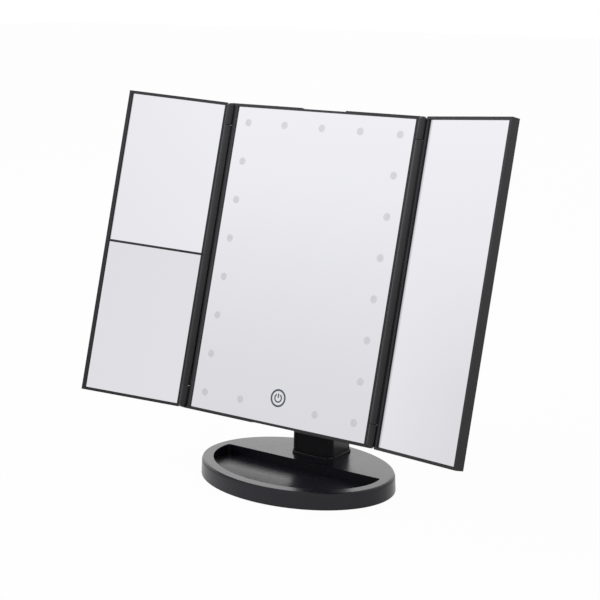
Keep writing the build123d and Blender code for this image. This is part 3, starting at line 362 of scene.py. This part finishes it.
def soften(node, radius):
    """Rounds a solid's sharp edges by radius."""
    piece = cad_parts[node]
    weld = piece.modifiers.new("weld", "WELD")
    weld.merge_threshold = SAME_POINT
    bevel = piece.modifiers.new("bevel", "BEVEL")
    bevel.width = radius
    bevel.segments = 2
    bevel.limit_method = "ANGLE"
    bevel.angle_limit = SHARP
    bevel.harden_normals = True


def paint(material, *nodes):
    for node in nodes:
        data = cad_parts[node].data
        data.materials.clear()
        data.materials.append(material)


def paint_panes():
    left, right = wing_across(-FOLD_LEFT), wing_across(FOLD_RIGHT)
    for node, across, near, far, edge in (
        ("centre_mirror", ACROSS, CENTRE_EVEN, CENTRE_EVEN, 0.0),
        ("left_mirror_upper", left, LEFT_UPPER_NEAR, LEFT_UPPER_FAR, 1.1 * MM),
        ("left_mirror_lower", left, LEFT_LOWER_NEAR, LEFT_LOWER_FAR, 0.4 * MM),
        ("right_mirror", right, RIGHT_NEAR, RIGHT_FAR, 3.6 * MM),
    ):
        paint(mirror_silver(node, across, near, far, edge), node)


def dress():
    for node in ("neck_front_shell", "neck_rear_shell"):
        soften(node, SOFT_NECK)
    for node in ("centre_frame", "left_wing_frame", "right_wing_frame", "rear_cover", "battery_door"):
        soften(node, SOFT_FRAME)
    frame_black = moulded_plastic_and_painted_light("frame_black", **FRAME_FINISH_AND_TOP_LIGHT)
    base_black = moulded_plastic_and_painted_light("base_black", 0.012, 0.27, tint=0.4, relief=0.006 * MM, specular=0.32)
    neck_black = moulded_plastic_and_painted_light("neck_black", 0.030, 0.24, specular=0.25)
    # frame copies with painted light on a rim's inner wall beside a hinge
    centre_lit_wall = (ACROSS, -PANE_HALF_W)
    paint(moulded_plastic_and_painted_light("centre_black_lit_wall", **FRAME_FINISH_AND_TOP_LIGHT, wall=centre_lit_wall), "centre_frame")
    across = wing_across(FOLD_RIGHT)
    right_lit_wall = (across, dot(on_head(HINGE_U, 0.0, HINGE_W), across) + WING_PANE_START)
    paint(moulded_plastic_and_painted_light("right_black_lit_wall", **FRAME_FINISH_AND_TOP_LIGHT, wall=right_lit_wall), "right_wing_frame")
    paint(frame_black, "left_wing_frame")
    paint(frame_black, "rear_cover", "battery_door", "left_wing_back", "right_wing_back", "switch_knob")
    paint(base_black, "base_shell", "base_plate")
    paint(neck_black, "neck_front_shell", "neck_rear_shell", "neck_caps")
    add_collar_bead(moulded_plastic_and_painted_light("bead_black", 0.03, 0.2))
    paint_panes()
    paint(frosted_window(), "led_windows")
    ink = key_ink()
    paint(ink, "touch_key")
    add_power_glyph(ink)
    paint(foot_rubber(), "base_pad")
    steel = brushed_steel()
    paint(steel, "base_weight", "base_screws", "neck_screws", "neck_shell_screws", "tilt_ears", "tilt_bolt")
    paint(steel, "tilt_nut", "head_bracket", "bracket_screws", "cover_screws")
    # dark steel for the hinge pins, and painted shade for the screws' cross recesses
    dark_steel_and_recess_shade = brushed_steel("blackened_steel_and_recess_shade", 0.02)
    paint(dark_steel_and_recess_shade, "hinge_pins")
    add_hinge_washers(speckled("washer_black", grey(0.006), grey(0.010), 0.5 * MM, 0.5))
    # painted shade: a thin dark cross stands in each screw head for its cross recess
    add_recess_shades("cover_screws", (0.0, cos(TILT), -sin(TILT)), dark_steel_and_recess_shade)
    add_recess_shades("neck_shell_screws", (0.0, 1.0, 0.0), dark_steel_and_recess_shade)
    add_recess_shades("base_screws", (0.0, 0.0, -1.0), dark_steel_and_recess_shade)
    paint(steel, "battery_contacts", "charging_socket", "touch_contact")
    paint(speckled("nylon", grey(0.60), grey(0.68), 2 * MM, 0.5), "tilt_washers")
    tape = speckled("foam_tape", grey(0.03), grey(0.05), 1 * MM, 0.9)
    paint(tape, "centre_glue", "left_glue", "right_glue")
    board = speckled("solder_mask", (0.01, 0.07, 0.03), (0.015, 0.09, 0.04), 3 * MM, 0.35)
    paint(board, "led_board_left", "led_board_right", "led_board_top", "led_board_bottom")
    paint(board, "control_board")
    paint(speckled("led_lens", (0.75, 0.68, 0.35), (0.85, 0.78, 0.45), 1 * MM, 0.3), "led_chips")
    paint(speckled("switch_plastic", grey(0.02), grey(0.03), 1 * MM, 0.5), "switch_body")
    paint(speckled("cell_jacket", (0.03, 0.06, 0.10), (0.04, 0.08, 0.13), 4 * MM, 0.3), "battery_cells")
    paint(speckled("lead_red", (0.35, 0.02, 0.02), (0.42, 0.03, 0.03), 2 * MM, 0.4), "internal_leads")


# ------------------------------------------------------------------ pieces of the scene
GLYPH_R, GLYPH_W, GLYPH_GAP = 3.5 * MM, 1.1 * MM, radians(62.0)
GLYPH_PROUD, GLYPH_STEPS = 0.02 * MM, 28
GLYPH_BAR_FOOT = 0.1 * MM
BEAD_R = 0.35 * MM
COLLAR_TOP_DEPTH = 0.05 * MM  # vertices this close to the collar's top belong to its ring
# the painted recess shade: arm length and width of the dark cross, and how far it stands each side of the
# head face
RECESS_L, RECESS_W, RECESS_PROUD = 2.2 * MM, 0.6 * MM, 0.02 * MM
HEAD_FACE_DEPTH = 0.02 * MM  # vertices this close to a screw's end belong to its head face
PIN_R = 1.03 * MM
WASHER_R, WASHER_T, WASHER_SIDES = 3.15 * MM, 0.26 * MM, 32


def on_head(u, v, w):
    """A point given across, up and out of the leaning glass, in metres."""
    x, y, z = HEAD_CENTRE
    return (x + u, y + v * sin(TILT) - w * cos(TILT), z + v * cos(TILT) + w * sin(TILT))


def mean(points):
    return sum(points, Vector((0.0, 0.0, 0.0))) / len(points)


def new_piece(name, mesh, body, material):
    """Puts a mesh into the scene as a piece that rides a body."""
    bmesh.ops.recalc_face_normals(mesh, faces=list(mesh.faces))
    data = bpy.data.meshes.new(name)
    mesh.to_mesh(data)
    mesh.free()
    piece = bpy.data.objects.new(name, data)
    bpy.context.scene.collection.objects.link(piece)
    data.materials.append(material)
    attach(piece, body)


def sweep(mesh, rings, closed=False):
    """Joins rings of points into a tube, which runs round to its start or has two end faces."""
    rings = [[mesh.verts.new(point) for point in ring] for ring in rings]
    for ring, following in zip(rings, rings[1:] + rings[:1] if closed else rings[1:]):
        for i in range(len(ring)):
            j = (i + 1) % len(ring)
            mesh.faces.new((ring[i], ring[j], following[j], following[i]))
    if not closed:
        mesh.faces.new(rings[0])
        mesh.faces.new(rings[-1])


def add_power_glyph(ink):
    """The open ring and bar printed inside the touch key's ring."""
    mesh = bmesh.new()
    turn = (2 * pi - GLYPH_GAP) / GLYPH_STEPS
    angles = [pi / 2 + GLYPH_GAP / 2 + i * turn for i in range(GLYPH_STEPS + 1)]
    arc = [[(r * cos(a), KEY_V + r * sin(a)) for r in (GLYPH_R - GLYPH_W, GLYPH_R)] for a in angles]
    bar = [[(u, v) for u in (-GLYPH_W / 2, GLYPH_W / 2)] for v in (KEY_V + GLYPH_BAR_FOOT, KEY_V + GLYPH_R)]
    for strip in (arc, bar):
        sweep(mesh, [
            [
                on_head(*place, height)
                for place, height in ((first, 0.0), (first, GLYPH_PROUD), (last, GLYPH_PROUD), (last, 0.0))
            ]
            for first, last in strip
        ])
    new_piece("power_glyph", mesh, "mirror_head", ink)


def add_collar_bead(material):
    """The small round bead along the top of the collar at the neck's foot."""
    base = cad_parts["base_shell"]
    places = [base.matrix_world @ vert.co for vert in base.data.vertices]
    height = max(place.z for place in places)
    ring = [place for place in places if place.z > height - COLLAR_TOP_DEPTH]
    middle = mean(ring)
    around = {}
    for place in ring:
        angle = round(degrees(atan2(place.y - middle.y, place.x - middle.x)))
        if angle not in around or (place - middle).length > (around[angle] - middle).length:
            around[angle] = place
    line = bpy.data.curves.new("collar_bead", "CURVE")
    line.dimensions = "3D"
    line.bevel_depth = BEAD_R
    line.bevel_resolution = 3
    spline = line.splines.new("POLY")
    spline.points.add(len(around) - 1)
    spline.use_cyclic_u = True
    for point, angle in zip(spline.points, sorted(around)):
        out = (around[angle] - middle).normalized() * BEAD_R
        point.co = (*(around[angle] - out), 1.0)
    piece = bpy.data.objects.new("collar_bead", line)
    bpy.context.scene.collection.objects.link(piece)
    line.materials.append(material)
    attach(piece, "stand")


def add_recess_shades(node, outward, material):
    """A dark cross, painted shade for the cross recess, on every screw head of a node; outward points out
    of the heads.
    """
    outward = Vector(outward)
    side = outward.orthogonal().normalized()
    other = outward.cross(side)
    for number, head in enumerate(screw_heads(node, outward)):
        mesh = bmesh.new()
        for long, wide in ((side, other), (other, side)):
            sweep(mesh, [
                [
                    level + long * (a * RECESS_L / 2) + wide * (b * RECESS_W / 2)
                    for a, b in ((-1, -1), (1, -1), (1, 1), (-1, 1))
                ]
                for level in (head - outward * RECESS_PROUD, head + outward * RECESS_PROUD)
            ])
        body = "stand" if node.startswith(("neck", "base")) else "mirror_head"
        new_piece(f"{node}_recess_{number + 1}", mesh, body, material)


def screw_heads(node, outward):
    """The middle of each screw's head face."""
    mesh = bmesh.new()
    mesh.from_mesh(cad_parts[node].data)
    bmesh.ops.remove_doubles(mesh, verts=list(mesh.verts), dist=SAME_POINT)
    left, heads = set(mesh.verts), []
    while left:
        screw, edge = set(), [left.pop()]
        while edge:
            vert = edge.pop()
            screw.add(vert)
            fresh = [link.other_vert(vert) for link in vert.link_edges if link.other_vert(vert) in left]
            left.difference_update(fresh)
            edge.extend(fresh)
        face = max(vert.co.dot(outward) for vert in screw) - HEAD_FACE_DEPTH
        points = [vert.co for vert in mesh.verts if vert in screw]
        heads.append(mean([point for point in points if point.dot(outward) > face]))
    mesh.free()
    return sorted(heads, key=lambda head: tuple(round(c, 5) for c in head))


def add_hinge_washers(material):
    """A thin washer on the pin in each gap between a knuckle and the barrel."""
    half, edge = WASHER_T / 2, WASHER_T / 4
    profile = [
        (PIN_R, -half), (WASHER_R - edge, -half), (WASHER_R, -half + edge),
        (WASHER_R, half - edge), (WASHER_R - edge, half), (PIN_R, half),
    ]
    for side, column in ((-1, "left"), (1, "right")):
        for end, place in ((-1, "low"), (1, "high")):
            mesh = bmesh.new()
            u, v, w = side * HINGE_U, end * SEAM_V, HINGE_W
            rings = [
                [on_head(u + r * cos(a), v + rise, w + r * sin(a)) for r, rise in profile]
                for a in (2 * pi * i / WASHER_SIDES for i in range(WASHER_SIDES))
            ]
            sweep(mesh, rings, closed=True)
            new_piece(f"hinge_washer_{column}_{place}", mesh, "mirror_head", material)


# ------------------------------------------------------------------ stage
WORLD_LEVEL = 0.55  # on the object; 1 where it is seen or reflected
FLOOR_SIZE, FLOOR_DROP = 12.0, 0.2 * MM
FLOOR_GREY, FLOOR_GLOW = 0.85, 0.97
KEY_AT, KEY_SIZE, KEY_POWER = (-1.3, -0.8, 0.9), (0.7, 0.7), 14.0
BACK_AT, BACK_SIZE, BACK_POWER = (-1.05, 1.45, 0.65), (1.8, 0.7), 5.0


def add_world():
    """White to the camera and in reflections, a plain level on the object."""
    world = bpy.data.worlds.new("studio")
    bpy.context.scene.world = world
    world.use_nodes = True
    nodes, links = world.node_tree.nodes, world.node_tree.links
    path = nodes.new("ShaderNodeLightPath")
    strength = nodes.new("ShaderNodeMix")
    strength.inputs["A"].default_value = WORLD_LEVEL
    strength.inputs["B"].default_value = 1.0
    links.new(seen(nodes, links, path), strength.inputs["Factor"])
    links.new(strength.outputs["Result"], nodes["Background"].inputs["Strength"])
    nodes["Background"].inputs["Color"].default_value = (1.0, 1.0, 1.0, 1.0)


def seen(nodes, links, path):
    """1 for camera, glossy and transmission rays."""
    total = path.outputs["Is Camera Ray"]
    for name in ("Is Glossy Ray", "Is Transmission Ray"):
        node = nodes.new("ShaderNodeMath")
        node.operation = "MAXIMUM"
        links.new(total, node.inputs[0])
        links.new(path.outputs[name], node.inputs[1])
        total = node.outputs["Value"]
    return total


def add_floor():
    """A wide pale floor that shows as white and keeps a soft shadow."""
    bpy.ops.mesh.primitive_plane_add(size=FLOOR_SIZE, location=(0.0, 0.0, -FLOOR_DROP))
    floor = bpy.context.object
    floor.name = "floor"
    material = bpy.data.materials.new("floor_white")
    material.use_nodes = True
    nodes, links = material.node_tree.nodes, material.node_tree.links
    diffuse = nodes["Principled BSDF"]
    diffuse.inputs["Base Color"].default_value = (*grey(FLOOR_GREY), 1.0)
    diffuse.inputs["Roughness"].default_value = 0.9
    glow = nodes.new("ShaderNodeEmission")
    mix = nodes.new("ShaderNodeMixShader")
    weight = nodes.new("ShaderNodeMath")
    weight.operation = "MULTIPLY"
    weight.inputs[1].default_value = FLOOR_GLOW
    links.new(seen(nodes, links, nodes.new("ShaderNodeLightPath")), weight.inputs[0])
    links.new(weight.outputs["Value"], mix.inputs["Fac"])
    links.new(diffuse.outputs["BSDF"], mix.inputs[1])
    links.new(glow.outputs["Emission"], mix.inputs[2])
    links.new(mix.outputs["Shader"], nodes["Material Output"].inputs["Surface"])
    floor.data.materials.append(material)


def add_lamp(name, at, aim, size, power, in_gloss):
    """A soft box that lights matt surfaces, or one that only shows in glossy ones."""
    data = bpy.data.lights.new(name, "AREA")
    data.shape = "RECTANGLE"
    data.size, data.size_y = size
    data.energy = power
    lamp = bpy.data.objects.new(name, data)
    lamp.location = at
    lamp.visible_camera = False
    lamp.visible_glossy = in_gloss
    lamp.visible_diffuse = not in_gloss
    direction = [b - a for a, b in zip(at, aim)]
    lamp.rotation_euler = Vector(direction).to_track_quat("-Z", "Y").to_euler()
    bpy.context.scene.collection.objects.link(lamp)


def add_stage():
    add_world()
    add_floor()
    add_lamp("key", KEY_AT, HEAD_CENTRE, KEY_SIZE, KEY_POWER, in_gloss=False)
    add_lamp("back", BACK_AT, (0.0, 0.0, 0.0), BACK_SIZE, BACK_POWER, in_gloss=True)
    bpy.context.scene.view_settings.view_transform = "Standard"


# ------------------------------------------------------------------ making
add_camera()
dress()
add_stage()

bpy.context.view_layer.update()
